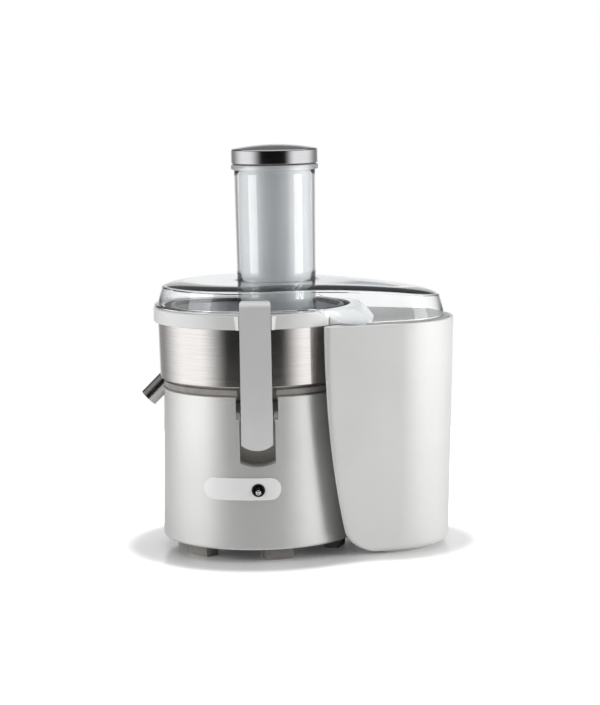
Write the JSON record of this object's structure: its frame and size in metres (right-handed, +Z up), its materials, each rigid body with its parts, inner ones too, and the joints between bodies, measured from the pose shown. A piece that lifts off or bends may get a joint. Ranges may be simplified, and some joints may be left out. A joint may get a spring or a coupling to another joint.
{
  "type": "centrifugal juicer",
  "caption": "Centrifugal juicer with round motor base, steel bowl and spout, clear lid with tall feed chute, clamps and a floor-standing pulp bin.",
  "frame": {"origin": "middle of the whole footprint on the surface it stands on; the motor axis is the vertical line at x = -0.04084 m, y = 0", "axes": "+Z up along the motor axis, +X towards the pulp bin, -Y towards the front with the switch"},
  "size_m": [0.3215, 0.226, 0.4119],
  "materials": {
    "housing_silver": "satin",
    "gloss_white": "gloss",
    "bin_white": "satin",
    "clamp_white": "satin",
    "brushed_steel": "brushed",
    "polished_steel": "polished",
    "basket_steel": "perforated",
    "clear_lid": "clear moulded plastic",
    "pusher_grey": "satin",
    "dark_plastic": "satin",
    "recess_grey": "satin",
    "grey_rubber": "matt",
    "motor_steel": "stamped",
    "copper": "enamelled wire",
    "board_green": "lacquered"
  },
  "bodies": {
    "housing": {"base_shell": "housing_silver", "base_plate": "dark_plastic", "feet": "grey_rubber", "base_screws": "motor_steel", "top_deck": "dark_plastic", "seal_ring": "grey_rubber", "recess_front": "recess_grey", "recess_rear": "recess_grey", "pin_front": "motor_steel", "pin_rear": "motor_steel", "switch_trim": "gloss_white", "switch_cup": "dark_plastic", "switch_body": "dark_plastic", "interlock_switch": "dark_plastic", "control_board": "board_green", "cord_inlet": "dark_plastic", "motor_frame": "motor_steel", "motor_mounts": "grey_rubber", "motor_stator": "motor_steel", "bearing_low": "polished_steel", "bearing_top": "polished_steel", "motor_brushes": "dark_plastic", "juice_bowl": "brushed_steel", "juice_spout": "brushed_steel", "bowl_seal": "grey_rubber", "collar": "gloss_white", "pulp_outlet": "gloss_white", "lid_seal": "grey_rubber", "lid_dome": "clear_lid", "feed_chute": "clear_lid", "chute_lip": "clear_lid"},
    "spindle": {"motor_shaft": "polished_steel", "armature": "copper", "commutator": "copper", "cooling_fan": "dark_plastic", "drive_coupling": "dark_plastic", "basket_hub": "dark_plastic", "filter_basket": "basket_steel", "basket_rim": "basket_steel", "grater_disc": "basket_steel"},
    "pusher": {"pusher_body": "pusher_grey", "pusher_seal": "dark_plastic", "pusher_cap": "polished_steel"},
    "front_clamp": {"clamp_front": "clamp_white"},
    "rear_clamp": {"clamp_rear": "clamp_white"},
    "toggle": {"toggle_lever": "polished_steel"},
    "bin": {"pulp_bin": "bin_white"}
  },
  "joints": [
    {"name": "basket_spin", "type": "hinge", "parent": "housing", "child": "spindle", "pos_m": [-0.04084, 0, 0.15], "axis": [0, 0, 1], "continuous": true},
    {"name": "pusher_slide", "type": "slide", "parent": "housing", "child": "pusher", "axis": [0, 0, 1], "range_m": [0, 0.17]},
    {"name": "front_clamp_swing", "type": "hinge", "parent": "housing", "child": "front_clamp", "pos_m": [-0.04084, -0.088, 0.1457], "axis": [1, 0, 0], "range_deg": [0, 35]},
    {"name": "rear_clamp_swing", "type": "hinge", "parent": "housing", "child": "rear_clamp", "pos_m": [-0.04084, 0.088, 0.1457], "axis": [-1, 0, 0], "range_deg": [0, 35]},
    {"name": "toggle_tilt", "type": "hinge", "parent": "housing", "child": "toggle", "pos_m": [-0.04084, -0.09409, 0.0735], "axis": [-1, 0, 0], "range_deg": [0, 24]},
    {"name": "bin_slide", "type": "slide", "parent": "housing", "child": "bin", "axis": [1, 0, 0], "range_m": [0, 0.15]}
  ]
}
